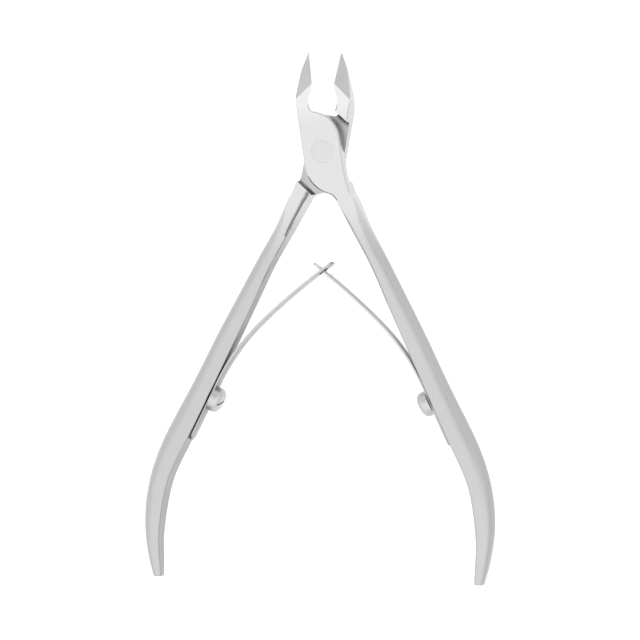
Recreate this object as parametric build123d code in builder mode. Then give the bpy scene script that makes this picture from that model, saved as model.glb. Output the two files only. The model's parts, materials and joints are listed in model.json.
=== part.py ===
from build123d import *
import os
from math import acos, atan, cos, degrees, radians, sin, tan

os.makedirs("parts", exist_ok=True)

# Cuticle nipper with a lap joint and a pair of interlocking leaf springs.
# Frame: millimetres, +Y towards the jaws, +X towards the front lever's handle, +Z up.
# The origin is on the pivot's axis, in the plane that the joint's back face rests on.
# The nipper is drawn with its jaws open, which is how its springs hold it.
# Each lever is drawn closed, with the two cutting edges on x = 0, then swung open.

# ---------------------------------------------------------------- driving sizes
JOINT_T = 6.0                 # thickness of the joint
LAP_GAP = 0.04                # play between the two lap plates
OPEN_ANGLE = 18.8             # angle between the cutting edges at rest
MID_Z = JOINT_T / 2
HALF_OPEN = OPEN_ANGLE / 2
ROOM = 240.0                  # wider than the whole nipper
SAME = 0.01                   # lengths this close count as equal

TIP_Y = 21.9                  # jaw tip, from the pivot
HEEL_Y = 15.1                 # inner end of the cutting edge
EDGE_GAP = 0.01               # half the gap left between the closed cutting edges

# Outline of the closed front lever's joint, anticlockwise from the notch behind its heel.
HEEL_HOLLOW = (-0.55, 13.3)
NOTCH_WALL_TOP = (-1.3, 12.2)
NOTCH_WALL_END = (-1.35, 10.0)
NOTCH_CORNER = (-1.05, 9.3)
NOTCH_FLOOR = (-0.3, 8.95)
PLATE_ARC = ((2.17, 7.56), (3.7, 5.5), (4.25, 3.0))
PLATE_SIDE_END = (4.3, -5.5)
SHOULDER = (4.55, -7.7)
HANDLE_OUTER = (5.05, -9.95)
HANDLE_INNER = (1.6, -11.1)
CROTCH = (1.0, -10.0)
FOOT_ARC = ((0.23, -9.4), (-2.7, -7.22), (-4.35, -3.0))
PLATE_SIDE_TOP = (-4.35, 9.0)
JAW_SIDE = ((-2.1, 18.6), (-3.3, 15.25))
JAW_SIDE_ENDS = ((-0.5, -1), (-0.15, -1))     # directions of its curve at both ends
TIP_WIDTH = 0.25
NOTCH_DRAFT = 17.0            # lean of the notch's wall
NOTCH_ROOM = 3.0              # clear width beside the notch

SEAT_WALL = 8.5               # from the pivot to each wall of the slot for the other plate
SEAT_TURN = 33.0              # lean of those walls
JAW_COVE = 1.3                # cove between the floor and the wall on the jaw's side
HANDLE_COVE = 0.8             # and on the handle's side
EDGE_BREAK = 0.3              # chamfer round the joint

RIDGE_END = (-4.25, 12.0)     # outer end of the ridge across the jaw
JAW_ROOT_Y = 10.5             # where the jaw's outline begins inside the joint's
RIDGE_TURN = 35.0             # lean of the ridge where the jaw's front bevel begins
BEVEL = 15.1                  # fall of the front bevel towards the tip
INNER_RELIEF = 18.0           # lean of the inner faces behind the cutting edge
RELIEF_END_Y = 9.8            # where that relief stops
BACK_TILT = 26.6              # sideways tilt of the hollow grind on the jaw's back
BACK_GRIND = ((9.0, -2.4), (16.0, 1.75), (22.4, 4.1))   # its arc on x = 0, as y and z
GROOVE_START = (1.15, -9.4)   # step beside the handle's inner corner, closed
GROOVE_END = (4.75, -19.65)
GROOVE_R = 0.6                # rolled edge that falls to the step
GROOVE_TURN = 44.0            # slope that it rolls over to
GROOVE_W = 1.3                # from the step to where the roll begins
GROOVE_RISE = 0.55            # how much of the step has run out at its lower end

FLAT_LEAN = 16.0              # lean of the handle's inner flat, closed
FLAT_X = 13.77                # the inner flat's x at y = -FLAT_Y, closed
FLAT_Y = 50.0
FLAT_TOP_Y = -24.5            # ends of the inner flat
FLAT_END_Y = -68.4

RIVET_R = 1.6
RIVET_HEAD_R = 2.4
RIVET_LAND = 0.25             # straight rim of the countersunk head
PIVOT_PLAY = 0.05             # radial running clearance in the front lever

LEAF_T = 0.55
LEAF_W = 3.6
LEAF_TAIL_R = 1.6
LEAF_TAIL_Y = -67.3           # where the leaf's tail lies on the closed flat
LEAF_LIFT_Y = -54.6           # where the leaf leaves the closed flat
LEAF_KICK = 20.7              # turn of the bend just above that
LEAF_KICK_R = 49.5
LEAF_FLEX = 11.0              # turn of that bend up to the point where the leaf flexes
LEAF_BOW_R = 147.0            # gentle bow of the rest of the leaf
HINGE_PLAY = 0.03             # gap round the point where the leaf is taken to flex

SLOT_W = 1.9
SLOT_L = 2.1
TONGUE_W = 1.5
TONGUE_SHOULDER = 1.5         # from the crossing back to the tongue's shoulders
TONGUE_REACH = 2.5            # leaf beyond the crossing
SLOTTED_REACH = 2.9
SLOT_CORNER_R = 0.3
TONGUE_TIP_R = 0.4
SLOTTED_TIP_R = 0.9

SCREW_Y = -57.3               # screw's place on the closed flat
SCREW_HEAD_R = 2.8
SCREW_HEAD_H = 2.4
SCREW_SHANK_R = 1.0
SCREW_BITE = 3.0              # thread length in the handle
SCREW_HOLE_PLAY = 0.15
SCREW_CROWN_R = 1.3           # rounding of the head's rim
SCREW_SLOT_W = 0.45
SCREW_SLOT_D = 0.35
SCREW_SLOT_TURN = 105.0


# ---------------------------------------------------------------- placing helpers
def flat_point(y):
    """Point of the front lever's inner flat, closed, at height y."""
    return (FLAT_X - (y + FLAT_Y) * tan(radians(FLAT_LEAN)), y)


def opened(point):
    """A point of the closed front lever, swung to the open rest position."""
    x, y = point
    turn = radians(HALF_OPEN)
    return (x * cos(turn) - y * sin(turn), x * sin(turn) + y * cos(turn))


def flat_plane(y, side):
    """Plane on the open handle's inner flat: local z points to the other handle."""
    x, open_y = opened(flat_point(y))
    lean = radians(FLAT_LEAN + HALF_OPEN)
    return Plane(origin=(side * x, open_y, MID_Z), x_dir=(0, 0, 1),
                 z_dir=(-side * cos(lean), -sin(lean), 0))


# ---------------------------------------------------------------- lever stock
def joint_block():
    """Front lever's jaw, lap plate and handle root, closed, before grinding."""
    notch_top = (NOTCH_WALL_TOP[0], RIDGE_END[1])
    with BuildPart() as block:
        with BuildSketch():
            with BuildLine():
                Line(notch_top, NOTCH_WALL_END)
                ThreePointArc(NOTCH_WALL_END, NOTCH_CORNER, NOTCH_FLOOR)
                Line(NOTCH_FLOOR, PLATE_ARC[0])
                ThreePointArc(*PLATE_ARC)
                Line(PLATE_ARC[-1], PLATE_SIDE_END)
                ThreePointArc(PLATE_SIDE_END, SHOULDER, HANDLE_OUTER)
                Line(HANDLE_OUTER, HANDLE_INNER)
                ThreePointArc(HANDLE_INNER, CROTCH, FOOT_ARC[0])
                ThreePointArc(*FOOT_ARC)
                Polyline(FOOT_ARC[-1], PLATE_SIDE_TOP, RIDGE_END, notch_top)
            make_face()
        extrude(amount=JOINT_T)
        rims = [e for e in block.edges() if abs(e.center().Z - MID_Z) > MID_Z - SAME]
        chamfer([e for e in rims if not is_cut_end(e.center())], EDGE_BREAK)
        with BuildSketch():
            with BuildLine():
                Line((NOTCH_WALL_TOP[0], JAW_ROOT_Y), NOTCH_WALL_TOP)
                ThreePointArc(NOTCH_WALL_TOP, HEEL_HOLLOW, (-EDGE_GAP, HEEL_Y))
                Polyline((-EDGE_GAP, HEEL_Y), (-EDGE_GAP, TIP_Y), (-TIP_WIDTH, TIP_Y))
                Spline((-TIP_WIDTH, TIP_Y), *JAW_SIDE, RIDGE_END, tangents=JAW_SIDE_ENDS)
                Polyline(RIDGE_END, (RIDGE_END[0] + TIP_WIDTH, JAW_ROOT_Y),
                         (NOTCH_WALL_TOP[0], JAW_ROOT_Y))
            make_face()
        extrude(amount=JOINT_T)
        with BuildSketch(seat_plane()) as seat:
            with Locations((0, MID_Z + LAP_GAP / 2)):
                Rectangle(2 * SEAT_WALL, JOINT_T, align=(Align.CENTER, Align.MAX))
            floor_ends = seat.vertices().group_by(Axis.Y)[-1]
            fillet(floor_ends.sort_by(Axis.X)[-1], JAW_COVE)
            fillet(seat.vertices().group_by(Axis.Y)[-1].sort_by(Axis.X)[0], HANDLE_COVE)
        extrude(amount=4 * JOINT_T, both=True, mode=Mode.SUBTRACT)
    return block.part


def is_cut_end(point):
    """True for an edge where the block runs on into the jaw or the handle."""
    into_jaw = abs(point.Y - RIDGE_END[1]) < SAME
    end = (Vector(*HANDLE_INNER) + Vector(*HANDLE_OUTER)) / 2
    into_handle = (Vector(point.X, point.Y) - end).length < SAME
    return into_jaw or into_handle


def seat_plane():
    """Plane across the slot for the other lap plate: local x across it, local y up."""
    turn = radians(SEAT_TURN)
    return Plane(origin=(0, 0, 0), x_dir=(-sin(turn), cos(turn), 0),
                 z_dir=(cos(turn), sin(turn), 0))


# Handle stations down the closed lever: inner point, width, thickness, radius of the two
# outer corners, radius of the inner corner on the face without the rolled step.
HANDLE_STATIONS = [
    (HANDLE_INNER, 3.64, 6.8, 0.9, 0.6),
    ((2.6, -14.0), 3.8, 6.6, 1.4, 1.2),
    ((4.05, -18.2), 3.6, 6.0, 2.0, 1.1),
    (flat_point(-25.2), 3.55, 5.3, 2.2, 0.8),
    (flat_point(-34.6), 4.05, 5.0, 2.2, 0.6),
    (flat_point(-44.0), 4.5, 5.0, 2.2, 0.45),
    (flat_point(-53.4), 4.7, 5.1, 2.3, 0.45),
    (flat_point(-62.8), 5.1, 5.4, 2.5, 0.45),
    ((19.65, -69.9), 5.15, 5.7, 2.7, 0.5),
    ((21.4, -76.7), 4.6, 5.6, 2.6, 0.6),
    ((21.7, -83.5), 4.25, 5.4, 2.5, 0.6),
    ((21.2, -90.1), 3.3, 4.9, 1.8, 0.6),
    ((19.85, -96.3), 2.25, 3.7, 1.1, 0.5),
    ((19.5, -98.2), 1.75, 3.0, 0.8, 0.45),
]
INNER_CORNER_R = 0.45         # inner corner on the face with the rolled step
END_R = 0.4                   # rounding of the handle's end
FLAT_STOCK = 0.08             # metal left on the flat for the grinding


def handle_bar():
    """Front lever's handle, closed: half-round outside, flat inside."""
    points = [station[0] for station in HANDLE_STATIONS]
    with BuildPart() as bar:
        for i, (inner, width, thick, corner, plain) in enumerate(HANDLE_STATIONS):
            above = points[max(i - 1, 0)]
            below = points[min(i + 1, len(points) - 1)]
            along = Vector(below[0] - above[0], below[1] - above[1], 0).normalized()
            if i == 0:
                along = Vector(HANDLE_INNER[1] - HANDLE_OUTER[1],
                               HANDLE_OUTER[0] - HANDLE_INNER[0], 0).normalized() * -1
            outward = Vector(-along.Y, along.X, 0)
            with BuildSketch(Plane(origin=(inner[0], inner[1], MID_Z), x_dir=outward,
                                   z_dir=along * -1)) as section:
                with Locations((-FLAT_STOCK, 0)):
                    Rectangle(width + FLAT_STOCK, thick, align=(Align.MIN, Align.CENTER))
                stepped_side = section.vertices().group_by(Axis.X)[0].sort_by(Axis.Y)[-1]
                fillet(stepped_side, INNER_CORNER_R)
                fillet(section.vertices().sort_by(lambda v: v.X + v.Y)[0], plain)
                fillet(section.vertices().group_by(Axis.X)[-1], corner)
        loft()
        fillet(bar.faces().sort_by(Axis.Y)[0].edges(), END_R)
        with Locations((0, 0, MID_Z)):
            Box(ROOM, ROOM, JOINT_T, mode=Mode.INTERSECT)
    return bar.part


def handle_seat():
    """Metal ground off the handle's inner side to leave the leaf's flat seat."""
    top = flat_point(FLAT_TOP_Y)
    end = flat_point(FLAT_END_Y)
    lean = radians(FLAT_LEAN)
    length = (top[1] - end[1]) / cos(lean)
    with BuildPart() as seat:
        with BuildSketch(Plane(origin=(end[0], end[1], MID_Z),
                               x_dir=(-sin(lean), cos(lean), 0), z_dir=(0, 0, 1))):
            Rectangle(length, JOINT_T, align=(Align.MIN, Align.MIN))
        extrude(amount=JOINT_T, both=True)
    return seat.part


def shoulder_groove():
    """Metal rolled off beside the handle's inner corner, down to a step, on the slotted face."""
    start = Vector(*GROOVE_START, 0)
    end = Vector(*GROOVE_END, -GROOVE_RISE)
    along = end - start
    across = Vector(-along.Y, along.X, 0)
    turn = radians(GROOVE_TURN)
    roll_end = (GROOVE_W - GROOVE_R * sin(turn), GROOVE_R * (1 - cos(turn)))
    half_way = (GROOVE_W - GROOVE_R * sin(turn / 2), GROOVE_R * (1 - cos(turn / 2)))
    depth = roll_end[1] + roll_end[0] * tan(turn)
    with BuildPart() as groove:
        with BuildSketch(Plane(origin=start, x_dir=across, z_dir=along)):
            with BuildLine():
                ThreePointArc((GROOVE_W, 0), half_way, roll_end)
                Polyline(roll_end, (0, depth), (0, -GROOVE_R), (GROOVE_W, -GROOVE_R),
                         (GROOVE_W, 0))
            make_face()
        extrude(amount=along.length)
    return groove.part


def lever_stock():
    """The front lever, closed, whole but for the work that differs between the two jaws."""
    block = joint_block()
    bar = handle_bar()
    seat = handle_seat()
    groove = shoulder_groove()
    with BuildPart() as stock:
        add(block)
        add(bar)
        add(seat, mode=Mode.SUBTRACT)
        add(groove, mode=Mode.SUBTRACT)
    return stock.part


# ---------------------------------------------------------------- work on each jaw
def jaw_grinding(side):
    """What is ground off a closed jaw: front bevel, inner relief and hollow back.

    side is -1 for the jaw left of the cutting edge and +1 for the one right of it.
    """
    heel = Vector(0, HEEL_Y, JOINT_T)
    turn = radians(RIDGE_TURN)
    fall = radians(BEVEL)
    edge_fall = atan(cos(turn) * tan(fall))
    relief = radians(INNER_RELIEF)
    tilt = radians(BACK_TILT)
    front = Plane(origin=heel, x_dir=(side * cos(turn), -sin(turn), 0),
                  z_dir=(side * sin(turn) * sin(fall), cos(turn) * sin(fall), cos(fall)))
    inner = Plane(origin=heel, x_dir=(0, cos(edge_fall), -sin(edge_fall)),
                  z_dir=(-side * cos(relief), -sin(relief) * sin(edge_fall),
                         -sin(relief) * cos(edge_fall)))
    back = Plane(origin=(0, 0, 0), x_dir=(0, 1, 0), z_dir=(cos(tilt), 0, side * sin(tilt)))
    notch = (NOTCH_FLOOR, NOTCH_CORNER, NOTCH_WALL_END, NOTCH_WALL_TOP, HEEL_HOLLOW)
    placed = [(-side * x, y) for x, y in notch]
    edge_end = (side * EDGE_GAP, HEEL_Y)
    with BuildPart() as waste:
        with BuildSketch(front):
            Rectangle(5 * JOINT_T, 5 * JOINT_T)
        extrude(amount=JOINT_T)
        with BuildSketch(inner):
            with Locations((RELIEF_END_Y - HEEL_Y, 0)):
                Rectangle(HEEL_Y, 4 * JOINT_T, align=(Align.MIN, Align.CENTER))
        extrude(amount=JOINT_T)
        with BuildSketch(Plane.XY.offset(JOINT_T)):
            with BuildLine():
                Polyline(edge_end, (-side * NOTCH_ROOM, HEEL_Y),
                         (-side * NOTCH_ROOM, NOTCH_FLOOR[1]), placed[0])
                ThreePointArc(*placed[:3])
                Line(*placed[2:4])
                ThreePointArc(*placed[3:], edge_end)
            make_face()
        extrude(amount=-JOINT_T, taper=-NOTCH_DRAFT)
        with BuildSketch(back):
            with BuildLine():
                ThreePointArc(*[(y, z * cos(tilt)) for y, z in BACK_GRIND])
                Polyline((BACK_GRIND[2][0], BACK_GRIND[2][1] * cos(tilt)),
                         (BACK_GRIND[2][0], -2 * JOINT_T), (BACK_GRIND[0][0], -2 * JOINT_T),
                         (BACK_GRIND[0][0], BACK_GRIND[0][1] * cos(tilt)))
            make_face()
        extrude(amount=2 * JOINT_T, both=True)
    return waste.part


# ---------------------------------------------------------------- pivot
def rivet_form(play):
    """A shank with a flush countersunk head at each end, larger by the radial play."""
    sink = RIVET_HEAD_R - RIVET_R
    head = RIVET_HEAD_R + play
    shank = RIVET_R + play
    with BuildPart() as form:
        with BuildSketch(Plane.XZ):
            with BuildLine():
                Polyline((0, 0), (head, 0), (head, RIVET_LAND), (shank, RIVET_LAND + sink),
                         (shank, JOINT_T - RIVET_LAND - sink), (head, JOINT_T - RIVET_LAND),
                         (head, JOINT_T), (0, JOINT_T), close=True)
            make_face()
        revolve(axis=Axis.Z)
    return form.part


# ---------------------------------------------------------------- springs
def bend(point, lean, new_lean, radius):
    """End of an arc that starts at point and turns from one lean to another (+X side)."""
    return (point[0] + radius * (cos(radians(new_lean)) - cos(radians(lean))),
            point[1] + radius * (sin(radians(new_lean)) - sin(radians(lean))))


SEAT_LEAN = FLAT_LEAN + HALF_OPEN                 # lean of the flat, jaws open
FLEX_LEAN = SEAT_LEAN + LEAF_FLEX                 # lean of the leaf at its flex point
KICK_LEAN = SEAT_LEAN + LEAF_KICK                 # lean of the leaf above its bend
LEAF_LIFT = (opened(flat_point(LEAF_LIFT_Y))[0] - LEAF_T / 2 * cos(radians(SEAT_LEAN)),
             opened(flat_point(LEAF_LIFT_Y))[1] - LEAF_T / 2 * sin(radians(SEAT_LEAN)))
FLEX = bend(LEAF_LIFT, SEAT_LEAN, FLEX_LEAN, LEAF_KICK_R)
KNEE = bend(LEAF_LIFT, SEAT_LEAN, KICK_LEAN, LEAF_KICK_R)
CROSS_LEAN = degrees(acos(cos(radians(KICK_LEAN)) - KNEE[0] / LEAF_BOW_R))
CROSSING = bend(KNEE, KICK_LEAN, CROSS_LEAN, LEAF_BOW_R)


def heading(lean, side):
    """Unit vector up a leaf that leans towards the middle."""
    return (-side * sin(radians(lean)), cos(radians(lean)))


def is_leaf_corner(edge):
    """True for a short edge through a leaf's thickness at one of its ends."""
    return abs(edge.length - LEAF_T) < SAME and edge.geom_type == GeomType.LINE


def leaf_root(side):
    """The clamped end of a leaf, up to the point where it is taken to flex."""
    start = (side * LEAF_LIFT[0], LEAF_LIFT[1])
    along = heading(SEAT_LEAN, side)
    length = (LEAF_LIFT_Y - LEAF_TAIL_Y) / cos(radians(FLAT_LEAN))
    tail = (start[0] - along[0] * length, start[1] - along[1] * length)
    with BuildPart() as root:
        with BuildSketch(Plane.XY.offset(MID_Z - LEAF_W / 2)):
            with BuildLine():
                Line(tail, start)
                JernArc(start, along, LEAF_KICK_R, side * LEAF_FLEX)
            trace(line_width=LEAF_T)
            with Locations((side * FLEX[0], FLEX[1])):
                Circle(LEAF_T / 2 + HINGE_PLAY, mode=Mode.SUBTRACT)
        extrude(amount=LEAF_W)
        corners = root.edges().filter_by(is_leaf_corner)
        fillet(corners.sort_by(Axis.Y)[:2], LEAF_TAIL_R)
        with Locations(flat_plane(SCREW_Y, side)):
            Cylinder(SCREW_SHANK_R + SCREW_HOLE_PLAY, 4 * LEAF_T, mode=Mode.SUBTRACT)
    return root.part


def leaf_arm(side, reach):
    """The free end of a leaf, from the flex point to its tip beyond the crossing."""
    start = (side * FLEX[0], FLEX[1])
    tip_lean = CROSS_LEAN + degrees(reach / LEAF_BOW_R)
    with BuildPart() as arm:
        with BuildSketch(Plane.XY.offset(MID_Z - LEAF_W / 2)):
            with BuildLine():
                JernArc(start, heading(FLEX_LEAN, side), LEAF_KICK_R,
                        side * (KICK_LEAN - FLEX_LEAN))
                JernArc((side * KNEE[0], KNEE[1]), heading(KICK_LEAN, side), LEAF_BOW_R,
                        side * (tip_lean - KICK_LEAN))
            trace(line_width=LEAF_T)
            with Locations(start):
                Circle(LEAF_T / 2)
        extrude(amount=LEAF_W)
    return arm.part


def crossing_plane(side):
    """Plane on a leaf where the two cross: local x up the leaf, local y across it."""
    along = heading(CROSS_LEAN, side)
    return Plane(origin=(0, CROSSING[1], MID_Z), x_dir=(along[0], along[1], 0),
                 z_dir=(along[1], -along[0], 0))


# ---------------------------------------------------------------- the nodes
stock = lever_stock()

with BuildPart() as front_closed:
    add(stock)
    add(jaw_grinding(-1), mode=Mode.SUBTRACT)
    add(rivet_form(PIVOT_PLAY), mode=Mode.SUBTRACT)

with BuildPart() as back_closed:
    with Locations(Location((0, 0, JOINT_T), (0, 180, 0))):
        add(stock)
    add(jaw_grinding(1), mode=Mode.SUBTRACT)
    add(rivet_form(0), mode=Mode.SUBTRACT)


def drill_for_screw(side):
    """Tapped blind hole for the spring's screw, from the handle's inner flat."""
    with BuildPart(flat_plane(SCREW_Y, side)) as hole:
        Cylinder(SCREW_SHANK_R, SCREW_BITE, align=(Align.CENTER, Align.CENTER, Align.MAX))
    return hole.part


with BuildPart() as front_lever:
    add(front_closed.part, rotation=(0, 0, HALF_OPEN))
    add(drill_for_screw(1), mode=Mode.SUBTRACT)

with BuildPart() as back_lever:
    add(back_closed.part, rotation=(0, 0, -HALF_OPEN))
    add(drill_for_screw(-1), mode=Mode.SUBTRACT)

with BuildPart() as pivot_rivet:
    add(rivet_form(0))

with BuildPart() as slotted_spring_root:
    add(leaf_root(-1))

with BuildPart() as tongued_spring_root:
    add(leaf_root(1))

with BuildPart() as slotted_spring_arm:
    add(leaf_arm(-1, SLOTTED_REACH))
    tips = slotted_spring_arm.edges().filter_by(is_leaf_corner).sort_by(Axis.X)[-2:]
    fillet(tips, SLOTTED_TIP_R)
    with BuildSketch(crossing_plane(-1)) as slot:
        Rectangle(SLOT_L, SLOT_W)
        fillet(slot.vertices(), SLOT_CORNER_R)
    extrude(amount=2 * LEAF_T, both=True, mode=Mode.SUBTRACT)

with BuildPart() as tongued_spring_arm:
    add(leaf_arm(1, TONGUE_REACH))
    with BuildSketch(crossing_plane(1)):
        with Locations((-TONGUE_SHOULDER, TONGUE_W / 2)):
            Rectangle(2 * LEAF_W, LEAF_W, align=(Align.MIN, Align.MIN))
        with Locations((-TONGUE_SHOULDER, -TONGUE_W / 2)):
            Rectangle(2 * LEAF_W, LEAF_W, align=(Align.MIN, Align.MAX))
    extrude(amount=2 * LEAF_T, both=True, mode=Mode.SUBTRACT)
    tips = tongued_spring_arm.edges().filter_by(is_leaf_corner).sort_by(Axis.X)[:2]
    fillet(tips, TONGUE_TIP_R)


def spring_screw(side):
    """Slotted screw with a rounded head that clamps a leaf to the handle's inner flat."""
    with BuildPart(flat_plane(SCREW_Y, side)) as screw:
        with Locations((0, 0, LEAF_T)):
            Cylinder(SCREW_SHANK_R, SCREW_BITE + LEAF_T,
                     align=(Align.CENTER, Align.CENTER, Align.MAX))
            Cylinder(SCREW_HEAD_R, SCREW_HEAD_H, align=(Align.CENTER, Align.CENTER, Align.MIN))
        rims = screw.edges().filter_by(GeomType.CIRCLE)
        rims = rims.filter_by(lambda e: abs(e.radius - SCREW_HEAD_R) < SAME)
        inward = flat_plane(SCREW_Y, side).z_dir
        fillet(rims.sort_by(lambda e: e.center().dot(inward))[-1], SCREW_CROWN_R)
        with Locations((0, 0, LEAF_T + SCREW_HEAD_H)):
            Box(SCREW_SLOT_W, 3 * SCREW_HEAD_R, 2 * SCREW_SLOT_D, rotation=(0, 0, SCREW_SLOT_TURN),
                mode=Mode.SUBTRACT)
    return screw.part


with BuildPart() as slotted_spring_screw:
    add(spring_screw(-1))

with BuildPart() as tongued_spring_screw:
    add(spring_screw(1))

# ---------------------------------------------------------------- labels and files
front_lever.part.label = "front_lever"
back_lever.part.label = "back_lever"
pivot_rivet.part.label = "pivot_rivet"
slotted_spring_root.part.label = "slotted_spring_root"
slotted_spring_arm.part.label = "slotted_spring_arm"
tongued_spring_root.part.label = "tongued_spring_root"
tongued_spring_arm.part.label = "tongued_spring_arm"
slotted_spring_screw.part.label = "slotted_spring_screw"
tongued_spring_screw.part.label = "tongued_spring_screw"

export_step(front_lever.part, "parts/front_lever.step")
export_step(back_lever.part, "parts/back_lever.step")
export_step(pivot_rivet.part, "parts/pivot_rivet.step")
export_step(slotted_spring_root.part, "parts/slotted_spring_root.step")
export_step(slotted_spring_arm.part, "parts/slotted_spring_arm.step")
export_step(tongued_spring_root.part, "parts/tongued_spring_root.step")
export_step(tongued_spring_arm.part, "parts/tongued_spring_arm.step")
export_step(slotted_spring_screw.part, "parts/slotted_spring_screw.step")
export_step(tongued_spring_screw.part, "parts/tongued_spring_screw.step")
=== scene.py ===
import json
from math import cos, pi, radians, sin, sqrt

import bmesh
import bpy
from mathutils import Matrix, Vector


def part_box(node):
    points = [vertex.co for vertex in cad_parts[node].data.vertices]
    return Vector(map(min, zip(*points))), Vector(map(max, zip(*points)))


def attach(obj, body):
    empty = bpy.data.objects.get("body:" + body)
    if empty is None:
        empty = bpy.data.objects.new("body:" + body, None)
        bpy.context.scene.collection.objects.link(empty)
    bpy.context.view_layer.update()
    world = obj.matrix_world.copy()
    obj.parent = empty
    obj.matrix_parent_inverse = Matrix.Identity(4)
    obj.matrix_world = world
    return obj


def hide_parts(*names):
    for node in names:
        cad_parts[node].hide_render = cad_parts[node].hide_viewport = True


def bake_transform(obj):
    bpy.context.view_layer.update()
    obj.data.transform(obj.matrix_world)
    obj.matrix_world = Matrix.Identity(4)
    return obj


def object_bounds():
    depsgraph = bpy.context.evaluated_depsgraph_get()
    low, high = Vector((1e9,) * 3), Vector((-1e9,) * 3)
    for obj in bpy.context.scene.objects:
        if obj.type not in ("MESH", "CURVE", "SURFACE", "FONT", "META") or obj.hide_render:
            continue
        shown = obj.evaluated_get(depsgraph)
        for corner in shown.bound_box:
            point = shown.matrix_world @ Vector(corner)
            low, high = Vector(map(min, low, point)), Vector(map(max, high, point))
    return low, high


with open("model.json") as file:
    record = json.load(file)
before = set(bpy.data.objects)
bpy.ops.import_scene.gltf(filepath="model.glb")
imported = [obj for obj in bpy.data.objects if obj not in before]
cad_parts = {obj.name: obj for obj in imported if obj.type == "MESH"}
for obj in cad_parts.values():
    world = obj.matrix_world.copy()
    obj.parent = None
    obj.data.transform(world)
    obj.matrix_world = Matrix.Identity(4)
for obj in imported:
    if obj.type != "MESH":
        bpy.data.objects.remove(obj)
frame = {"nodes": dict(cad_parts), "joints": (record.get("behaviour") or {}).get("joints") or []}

MM = 0.001
cad_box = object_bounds()
nodes = frame["nodes"]
joints = {joint["name"]: joint for joint in frame["joints"]}


def new_object(name, data):
    obj = bpy.data.objects.new(name, data)
    bpy.context.scene.collection.objects.link(obj)
    return obj


# ------------------------------------------------------------------ camera
VIEW_TURN = radians(14.0)        # the camera stands this far round to the nipper's right
VIEW_ROLL = radians(-0.96)
VIEW_DISTANCE = 1.2
VIEW_WIDTH = 0.13984             # width of the picture at the nipper
AIM = Vector((-0.478, -0.657, 0.119)) * MM      # aim, from the middle of the nipper's box


def make_camera():
    """A long lens that looks almost straight down, a little from the nipper's right."""
    aim = (Vector(cad_box[0]) + Vector(cad_box[1])) / 2 + AIM
    side = Vector((cos(VIEW_TURN), 0, -sin(VIEW_TURN)))
    back = Vector((sin(VIEW_TURN), 0, cos(VIEW_TURN)))
    north = Vector((0, 1, 0))
    right = side * cos(VIEW_ROLL) - north * sin(VIEW_ROLL)
    up = side * sin(VIEW_ROLL) + north * cos(VIEW_ROLL)
    data = bpy.data.cameras.new("camera")
    data.lens = data.sensor_width * VIEW_DISTANCE / VIEW_WIDTH
    data.clip_start = 0.05
    data.clip_end = 20
    camera = new_object("camera", data)
    turn = Matrix((right, up, back)).transposed().to_4x4()
    camera.matrix_world = Matrix.Translation(aim + back * VIEW_DISTANCE) @ turn
    bpy.context.scene.camera = camera


# ------------------------------------------------------------------ shader helpers
def add_node(tree, kind, **values):
    """A shader node with its sockets set by name."""
    node = tree.nodes.new("ShaderNode" + kind)
    for socket, value in values.items():
        node.inputs[socket].default_value = value
    return node


def math_node(tree, operation, a, b=0.0):
    """The result of an operation on two numbers or outputs."""
    node = tree.nodes.new("ShaderNodeMath")
    node.operation = operation
    for socket, value in zip(node.inputs, (a, b)):
        if isinstance(value, (int, float)):
            socket.default_value = value
        else:
            tree.links.new(value, socket)
    return node.outputs[0]


def remap(tree, value, low, high, to_low, to_high):
    """The value eased from one range to another, and held beyond its ends."""
    node = tree.nodes.new("ShaderNodeMapRange")
    node.interpolation_type = "SMOOTHSTEP"
    tree.links.new(value, node.inputs["Value"])
    for name, number in (("From Min", low), ("From Max", high),
                         ("To Min", to_low), ("To Max", to_high)):
        node.inputs[name].default_value = number
    return node.outputs["Result"]


# ------------------------------------------------------------------ studio
HORIZON_LIGHT = 1.35
ZENITH_LIGHT = 1.85
ZENITH_START = 0.95              # the tent is brightest above this height, out of 1
NORTH_LOSS = 0.44                # the most that the tent loses high up beyond the jaws
NORTH_EDGE = (0.1, 0.5)          # that loss sets in this far north, out of 1
OVERHEAD_EDGE = (0.4, 0.75)      # and this high up, out of 1
FLOOR_HALF = 1.5
FLOOR_GAP = 0.2 * MM             # the floor lies this far below the nipper
FLOOR_TONE = 0.5
FLOOR_GLOW = 0.8


def make_world():
    """A white tent, dimmer towards the horizon and high up beyond the jaws."""
    world = bpy.data.worlds.new("tent")
    bpy.context.scene.world = world
    world.use_nodes = True
    tree = world.node_tree
    tree.nodes.clear()
    place = tree.nodes.new("ShaderNodeTexCoord")
    split = tree.nodes.new("ShaderNodeSeparateXYZ")
    back = tree.nodes.new("ShaderNodeBackground")
    out = tree.nodes.new("ShaderNodeOutputWorld")
    tree.links.new(place.outputs["Generated"], split.inputs[0])
    height = remap(tree, split.outputs["Z"], 0.0, ZENITH_START, HORIZON_LIGHT, ZENITH_LIGHT)
    north = remap(tree, split.outputs["Y"], *NORTH_EDGE, 0.0, NORTH_LOSS)
    overhead = remap(tree, split.outputs["Z"], *OVERHEAD_EDGE, 0.0, 1.0)
    dimming = math_node(tree, "SUBTRACT", 1.0, math_node(tree, "MULTIPLY", north, overhead))
    tree.links.new(math_node(tree, "MULTIPLY", height, dimming), back.inputs["Strength"])
    back.inputs["Color"].default_value = (1, 1, 1, 1)
    tree.links.new(back.outputs[0], out.inputs["Surface"])


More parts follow.
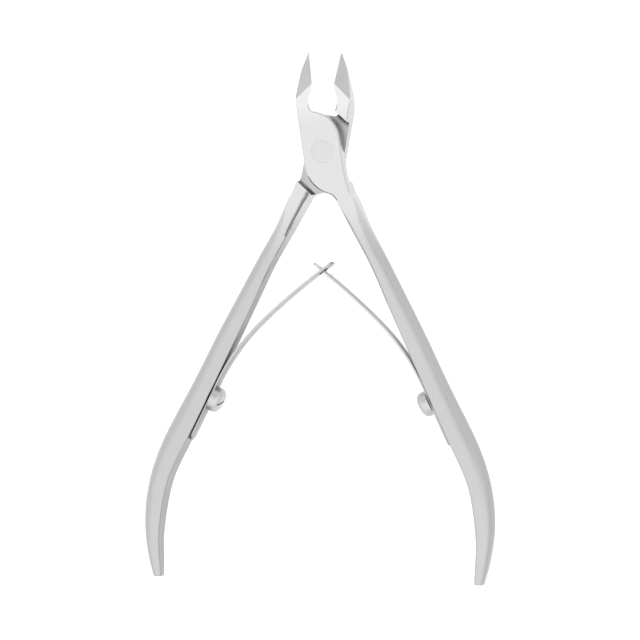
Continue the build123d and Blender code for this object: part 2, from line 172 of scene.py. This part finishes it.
def make_floor():
    """A plain pale floor that glows a little, so that it stays white."""
    mesh = bpy.data.meshes.new("floor")
    r = FLOOR_HALF
    z = cad_box[0][2] - FLOOR_GAP
    mesh.from_pydata([(-r, -r, z), (r, -r, z), (r, r, z), (-r, r, z)], [], [(0, 1, 2, 3)])
    floor = new_object("floor", mesh)
    material = bpy.data.materials.new("floor_white")
    material.use_nodes = True
    shader = material.node_tree.nodes["Principled BSDF"]
    shader.inputs["Base Color"].default_value = (FLOOR_TONE, FLOOR_TONE, FLOOR_TONE, 1)
    shader.inputs["Roughness"].default_value = 0.9
    shader.inputs["Specular IOR Level"].default_value = 0.1
    shader.inputs["Emission Color"].default_value = (1, 1, 1, 1)
    shader.inputs["Emission Strength"].default_value = FLOOR_GLOW
    mesh.materials.append(material)


# ------------------------------------------------------------------ steel
HOLLOW_REACH = 2.6 * MM          # how far from a wall the painted hollow shade reaches
HOLLOW_EDGE = (0.35, 0.95)       # painted hollow shade fades out between these degrees of openness
HOLLOW_SAMPLES = 12
HANDLE_TOP = -24 * MM            # along Y, the polish turns to satin from JOINT_END to here
JOINT_END = -10 * MM
ROOT_SPAN = (-40 * MM, -25 * MM)     # painted hollow shade goes from the springs' to the roots' along here
JAW_SPAN = (-5 * MM, 5 * MM)         # and from the roots' to the jaws' along here
JAW_LIGHT_SPAN = (5 * MM, 11 * MM)       # the painted light on the jaws sets in along here
JOINT_MID = (cad_box[0][2] + cad_box[1][2]) / 2
SEAT_SPAN = (0.2 * MM, 0.6 * MM)     # the painted shade on the seat floors fades out this far from JOINT_MID
LIP_SPAN = (2.8 * MM, 4.6 * MM)      # heights between which painted shade sets in on a leaf's sides toward its front edge
FACING_RIGHT = (0.45, 0.9)       # normals' X, from not facing right to facing right, for the painted side shade
FACING_FRONT = (0.97, 0.995)     # normals' Z, from not facing front to facing front, for the painted jaw light and seat shade
UPRIGHT = (0.3, 0.7)             # normals' Z, from an upright side to a front or back, for the painted lip shade
NOISE_BAND = (0.3, 0.7)          # the part of a noise's output that it mostly fills
CLOUD_SCALE = 180.0
CLOUD_TONES = (0.99, 1.007)      # how much the cloudy sheen varies the tone
SCRATCH_TONES = (0.99, 1.005)    # and how much the grain does
EDGE_R = 0.06 * MM               # softening of the edges
EDGE_SAMPLES = 6
SCRATCH_DEPTH = 0.02 * MM
SCRATCH_STRENGTH = 0.06
ROUGH_SPREAD = 0.04              # how much the cloudy sheen varies the roughness
SATIN_ROUGH = 0.08               # how much rougher the satin is than the polish
BLUE = 1.003                     # steel's faint blue, beside its red and green


def steel(name, tone, rough, grain, satin=1.0, side_shade=0.0, hollow_shade=(0.36, 0.36, 0.36),
          lip_shade=0.0, jaw_light=0.0, seat=0.0):
    """Ground steel: fine grain along the piece, cloudy sheen, softened edges.

    satin is the tone of the handles beside the polished joint's, side_shade is the painted
    shade on right-facing sides down the handles, hollow_shade is the painted shade in hollows
    along the springs, at the handles' roots and at the jaws (less than nothing is painted
    light), and lip_shade is the painted shade on an upright side beside its front edge.
    jaw_light is the painted light on the jaws' flat fronts, and seat is the painted shade on
    the lap joint's floors.
    """
    material = bpy.data.materials.new(name)
    material.use_nodes = True
    tree = material.node_tree
    shader = tree.nodes["Principled BSDF"]
    place = tree.nodes.new("ShaderNodeTexCoord")
    split = tree.nodes.new("ShaderNodeSeparateXYZ")
    tree.links.new(place.outputs["Object"], split.inputs[0])

    cloud = add_node(tree, "TexNoise", Scale=CLOUD_SCALE, Detail=3.0, Roughness=0.6)
    tree.links.new(place.outputs["Object"], cloud.inputs["Vector"])
    stretch = add_node(tree, "Mapping", Scale=grain)
    tree.links.new(place.outputs["Object"], stretch.inputs["Vector"])
    scratch = add_node(tree, "TexNoise", Scale=1.0, Detail=2.0, Roughness=0.7)
    tree.links.new(stretch.outputs["Vector"], scratch.inputs["Vector"])

    handle = remap(tree, split.outputs["Y"], HANDLE_TOP, JOINT_END, 1.0, 0.0)
    facing = tree.nodes.new("ShaderNodeSeparateXYZ")
    tree.links.new(place.outputs["Normal"], facing.inputs[0])
    # Painted shade: sides facing right, down the handles and on the leaves, are darkened on top of
    # the handles' own satin tone.
    sideways = remap(tree, facing.outputs["X"], *FACING_RIGHT,
                     1.0 - satin, 1.0 - satin * (1.0 - side_shade))
    shade = math_node(tree, "SUBTRACT", 1.0, math_node(tree, "MULTIPLY", handle, sideways))
    mottle = remap(tree, cloud.outputs["Fac"], *NOISE_BAND, *CLOUD_TONES)
    fine = remap(tree, scratch.outputs["Fac"], *NOISE_BAND, *SCRATCH_TONES)

    # Painted shade: ambient occlusion darkens hollows by an amount that changes down the piece; where
    # that amount is below nothing, as at the levers' roots, it is painted light.
    hollow = add_node(tree, "AmbientOcclusion", Distance=HOLLOW_REACH)
    hollow.samples = HOLLOW_SAMPLES
    springs, roots, jaws = hollow_shade
    depth = math_node(tree, "ADD",
                      remap(tree, split.outputs["Y"], *ROOT_SPAN, springs, roots),
                      remap(tree, split.outputs["Y"], *JAW_SPAN, 0.0, jaws - roots))
    hollow_shading = math_node(tree, "MULTIPLY", depth,
                           remap(tree, hollow.outputs["AO"], *HOLLOW_EDGE, 1.0, 0.0))
    hollow_factor = math_node(tree, "SUBTRACT", 1.0, hollow_shading)
    value = math_node(tree, "MULTIPLY", math_node(tree, "MULTIPLY", shade, mottle),
                      math_node(tree, "MULTIPLY", fine, hollow_factor))

    # Painted light on the jaws' flat fronts, and painted shade on the lap joint's floors.
    if jaw_light or seat:
        flat = remap(tree, facing.outputs["Z"], *FACING_FRONT, 0.0, 1.0)
        gain = remap(tree, split.outputs["Y"], *JAW_LIGHT_SPAN, 0.0, jaw_light)
        height = math_node(tree, "ABSOLUTE",
                           math_node(tree, "SUBTRACT", split.outputs["Z"], JOINT_MID))
        loss = remap(tree, height, *SEAT_SPAN, seat, 0.0)
        change = math_node(tree, "MULTIPLY", flat, math_node(tree, "SUBTRACT", gain, loss))
        value = math_node(tree, "MULTIPLY", value, math_node(tree, "ADD", 1.0, change))
    # Painted shade on upright sides, growing toward their front edges.
    if lip_shade:
        upright = remap(tree, math_node(tree, "ABSOLUTE", facing.outputs["Z"]), *UPRIGHT, lip_shade, 0.0)
        front = remap(tree, split.outputs["Z"], *LIP_SPAN, 0.0, 1.0)
        shadow = math_node(tree, "MULTIPLY", upright, front)
        value = math_node(tree, "MULTIPLY", value, math_node(tree, "SUBTRACT", 1.0, shadow))

    grey = add_node(tree, "Mix")
    grey.data_type = "RGBA"
    grey.clamp_factor = False
    grey.inputs["A"].default_value = (0, 0, 0, 1)
    grey.inputs["B"].default_value = (tone, tone, tone * BLUE, 1)
    tree.links.new(value, grey.inputs["Factor"])
    tree.links.new(grey.outputs["Result"], shader.inputs["Base Color"])

    sheen = remap(tree, cloud.outputs["Fac"], *NOISE_BAND, rough - ROUGH_SPREAD, rough + ROUGH_SPREAD)
    satin_sheen = math_node(tree, "MULTIPLY", handle, SATIN_ROUGH)
    tree.links.new(math_node(tree, "ADD", sheen, satin_sheen), shader.inputs["Roughness"])
    shader.inputs["Metallic"].default_value = 1.0

    edge = add_node(tree, "Bevel", Radius=EDGE_R)
    edge.samples = EDGE_SAMPLES
    bump = add_node(tree, "Bump", Strength=SCRATCH_STRENGTH, Distance=SCRATCH_DEPTH)
    tree.links.new(scratch.outputs["Fac"], bump.inputs["Height"])
    tree.links.new(edge.outputs["Normal"], bump.inputs["Normal"])
    tree.links.new(bump.outputs["Normal"], shader.inputs["Normal"])
    return material


def paint(obj, material):
    obj.data.materials.clear()
    obj.data.materials.append(material)


# ------------------------------------------------------------------ meshes
SHARP_ANGLE = radians(30)        # edges that turn more than this stay sharp


def fill_mesh(work, mesh, merge):
    """Put the work's closed shape in the mesh, with points nearer than merge joined."""
    bmesh.ops.remove_doubles(work, verts=work.verts, dist=merge)
    bmesh.ops.recalc_face_normals(work, faces=work.faces)
    work.to_mesh(mesh)
    work.free()
    mesh.shade_smooth()
    mesh.set_sharp_from_angle(angle=SHARP_ANGLE)


# ------------------------------------------------------------------ springs
SEAT_LEAN = 25.4                 # lean of the handle's flat, jaws open
FLEX_TURN = 11.0                 # turn of the leaf's bend up to the flex point
KICK_TURN = 20.7                 # whole turn of that bend
KICK_R = 49.5 * MM
BOW_R = 147.0 * MM               # the long bow beyond the bend
LEAF_T = 0.55 * MM
SEATED_T = 0.36 * MM             # thickness shown on the handle, beside a dark hairline
FREE_T = 0.50 * MM               # and clear of it
CLEAR = 8.0 * MM                 # distance from the lift to where the leaf is clear
LEAF_W = 3.6 * MM
TAIL_LENGTH = 13.2 * MM          # length that lies on the handle, below the lift
TAIL_R = 1.6 * MM
STEP = 0.5 * MM                  # spacing of the rows down a leaf
ROUND_STEPS = 8                  # rows round an end's corner
SLOT_STEPS = 4                   # and round a slot's
CUT_GAP = 0.02 * MM              # no other row stands nearer to a cut than this
BLEND_FROM = 2.0 * MM            # distances along a leaf at which its path is evaluated; nothing uses the results
BLEND_TO = 21.0 * MM
LONGEST = 60 * MM                # more than any leaf's distance to the crossing
TINY = 0.001 * MM


def leaf_path(joint, side):
    """Point and inward normal of a leaf's middle line, by distance from where it lifts."""
    flex = Vector(joint["pos_m"])

    def at_lean(start, lean, new_lean, radius):
        return start + Vector((side * radius * (cos(new_lean) - cos(lean)),
                               radius * (sin(new_lean) - sin(lean)), 0))

    seat = radians(SEAT_LEAN)
    kick = radians(SEAT_LEAN + KICK_TURN)
    lift = at_lean(flex, radians(SEAT_LEAN + FLEX_TURN), seat, KICK_R)
    knee = at_lean(lift, seat, kick, KICK_R)
    bend_length = KICK_R * (kick - seat)

    def place(s):
        if s < 0:
            point, lean = lift + Vector((side * sin(seat), -cos(seat), 0)) * -s, seat
        elif s < bend_length:
            lean = seat + s / KICK_R
            point = at_lean(lift, seat, lean, KICK_R)
        else:
            lean = kick + (s - bend_length) / BOW_R
            point = at_lean(knee, kick, lean, BOW_R)
        return point, Vector((-side * cos(lean), -sin(lean), 0))

    return place


def rounded(distance, radius):
    """How far a rounded corner has drawn in, at a distance from the end it rounds."""
    if distance >= radius:
        return 0.0
    return radius - sqrt(max(radius ** 2 - (radius - distance) ** 2, 0))


def corner_rows(radius, steps):
    """Distances from an end at which its rounded corner gets rows."""
    return [radius * (1 - cos(i * pi / 2 / steps)) for i in range(steps + 1)]


def leaf_stations(tail, crossing, reach, tip_r, tongue=None, opening=None):
    """(distance, half width, half width of the opening) down a leaf, tail first.

    A tongue is given by its length and width, and an opening by its length, width and
    corner radius. A cut, where either begins or ends, has two stations at one distance.
    """
    tip = crossing + reach
    marks = {tail + row for row in corner_rows(TAIL_R, ROUND_STEPS)}
    marks |= {tip - row for row in corner_rows(tip_r, ROUND_STEPS)}
    steps = int((tip - tip_r - tail - TAIL_R) / STEP)
    marks |= {tail + TAIL_R + (i + 1) * STEP for i in range(steps - 1)}
    cuts = []
    if tongue:
        tongue_length, tongue_width = tongue
        cuts = [crossing - tongue_length]
    if opening:
        slot_length, slot_width, slot_r = opening
        cuts = [crossing - slot_length / 2, crossing + slot_length / 2]
        for cut, way in zip(cuts, (1, -1)):
            marks |= {cut + way * row for row in corner_rows(slot_r, SLOT_STEPS)[1:]}
    marks = [mark for mark in marks if all(abs(mark - cut) > CUT_GAP for cut in cuts)]

    stations = []
    for s in sorted(marks + cuts):
        wide = LEAF_W / 2 - rounded(s - tail, TAIL_R)
        drawn_in = rounded(tip - s, tip_r)
        if tongue and s >= cuts[0]:
            if s == cuts[0]:
                stations.append((s, wide, 0.0))
            stations.append((s, tongue_width / 2 - drawn_in, 0.0))
        elif opening and cuts[0] <= s <= cuts[1]:
            half = slot_width / 2 - rounded(min(s - cuts[0], cuts[1] - s), slot_r)
            whole, split = (s, wide, 0.0), (s, wide, half)
            if s == cuts[0]:
                stations += [whole, split]
            elif s == cuts[1]:
                stations += [split, whole]
            else:
                stations.append(split)
        else:
            stations.append((s, wide - drawn_in, 0.0))
    return stations


def make_leaf(name, place, stations):
    """One leaf as a strip that follows its path.

    A row has four columns across the leaf, and each column has an inner and an outer point.
    Between the middle columns lies the opening, or nothing where its half width is zero.
    """
    mesh = bpy.data.meshes.new(name)
    work = bmesh.new()
    rows = []
    for s, wide, half in stations:
        point, normal = place(s)
        thickness = SEATED_T + (FREE_T - SEATED_T) * min(max(s / CLEAR, 0), 1)
        offsets = (LEAF_T / 2, LEAF_T / 2 - thickness)
        rows.append([[work.verts.new(point + normal * t + Vector((0, 0, w))) for t in offsets]
                     for w in (-wide, -half, half, wide)])
    for i, (a, b) in enumerate(zip(rows, rows[1:])):
        if stations[i][0] != stations[i + 1][0]:
            for j in (0, 2):
                work.faces.new((a[j][0], b[j][0], b[j + 1][0], a[j + 1][0]))
                work.faces.new((a[j][1], a[j + 1][1], b[j + 1][1], b[j][1]))
        through = max(stations[i][2], stations[i + 1][2]) > 0
        for j in range(4):
            if j in (0, 3) or through:
                work.faces.new((a[j][0], a[j][1], b[j][1], b[j][0]))
    for row in (rows[0], rows[-1]):
        work.faces.new((row[0][0], row[-1][0], row[-1][1], row[0][1]))
    fill_mesh(work, mesh, TINY)
    return new_object(name, mesh)


def crossing_length(place):
    """Distance along a leaf at which it reaches the middle plane."""
    low, high = 0.0, LONGEST
    while high - low > TINY:
        middle = (low + high) / 2
        if place(middle)[0].x * place(0)[0].x > 0:
            low = middle
        else:
            high = middle
    return low


def fit_leaf(name, body, handle, material, side, **shape):
    """Build a leaf in place of its two CAD nodes."""
    place = leaf_path(joints[body + "_flex"], side)
    stations = leaf_stations(-TAIL_LENGTH, crossing_length(place), **shape)
    leaf = make_leaf(name, place, stations)
    paint(leaf, material)
    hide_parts(body + "_root", body + "_arm")
    place(BLEND_FROM)[0]
    place(BLEND_TO)[0]
    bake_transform(leaf)


# ------------------------------------------------------------------ rivet
RIVET_FILL = 0.045 * MM          # how far its rims reach into the CAD rivet's clearance
RIM_WIDTH = 0.4 * MM
RIM_DROP = 0.01 * MM             # how far the rims slope back from flush
RIVET_SIDES = 96
RIVET_MERGE = 0.0005 * MM


def make_rivet(material):
    """The pivot's flush rivet, with its rims finished tight against the plates."""
    low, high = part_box("pivot_rivet")
    centre = (low + high) / 2
    radius = (high.x - low.x) / 2 + RIVET_FILL
    profile = [(0, high.z), (radius - RIM_WIDTH, high.z), (radius, high.z - RIM_DROP),
               (radius, low.z + RIM_DROP), (radius - RIM_WIDTH, low.z), (0, low.z)]
    mesh = bpy.data.meshes.new("rivet")
    work = bmesh.new()
    points = [work.verts.new((x, 0, z)) for x, z in profile]
    edges = [work.edges.new(pair) for pair in zip(points, points[1:])]
    bmesh.ops.spin(work, geom=points + edges, cent=(0, 0, 0), axis=(0, 0, 1),
                   angle=2 * pi, steps=RIVET_SIDES)
    fill_mesh(work, mesh, RIVET_MERGE)
    rivet = new_object("rivet", mesh)
    rivet.location = (centre.x, centre.y, 0)
    paint(rivet, material)
    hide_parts("pivot_rivet")
    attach(rivet, "back_lever")


# ------------------------------------------------------------------ the nipper
# The levers' look: painted shade in hollows (painted light at the roots), painted light on the jaws'
# flat fronts and painted shade on the lap joint's floors.
LEVER_LOOK = {"tone": 0.44, "rough": 0.26, "grain": (3000, 260, 3000),
              "hollow_shade": (0.3, -0.2, 0.25), "jaw_light": 0.12, "seat": 0.32}
LEAF_GRAIN = (600, 600, 4000)    # fine across a leaf, which is along Z

make_camera()
make_world()
make_floor()

# The two levers' steels differ in satin tone and painted side shade, the two leaves' in tone, painted
# side shade and painted lip shade; the screws get painted hollow shade.
front_steel = steel("front_lever_steel", satin=0.84, side_shade=0.14, **LEVER_LOOK)
back_steel = steel("back_lever_steel", satin=0.82, side_shade=0.26, **LEVER_LOOK)
rivet_steel = steel("rivet_steel", 0.425, 0.26, (3000, 3000, 3000))
slotted_steel = steel("slotted_leaf_steel", 0.38, 0.24, LEAF_GRAIN, side_shade=0.22, lip_shade=0.45)
tongued_steel = steel("tongued_leaf_steel", 0.42, 0.24, LEAF_GRAIN, side_shade=0.6, lip_shade=0.95)
screw_steel = steel("screw_steel", 0.41, 0.30, (1500, 1500, 1500), hollow_shade=(0.1, 0.1, 0.1))

paint(nodes["front_lever"], front_steel)
paint(nodes["back_lever"], back_steel)
for name in ("slotted_spring_screw", "tongued_spring_screw"):
    paint(nodes[name], screw_steel)
fit_leaf("slotted_leaf", "slotted_spring", "back_lever", slotted_steel, -1,
         reach=2.9 * MM, tip_r=0.9 * MM, opening=(2.1 * MM, 1.9 * MM, 0.3 * MM))
fit_leaf("tongued_leaf", "tongued_spring", "front_lever", tongued_steel, 1,
         reach=2.5 * MM, tip_r=0.4 * MM, tongue=(1.5 * MM, 1.5 * MM))
make_rivet(rivet_steel)

bpy.context.scene.view_settings.view_transform = "Standard"
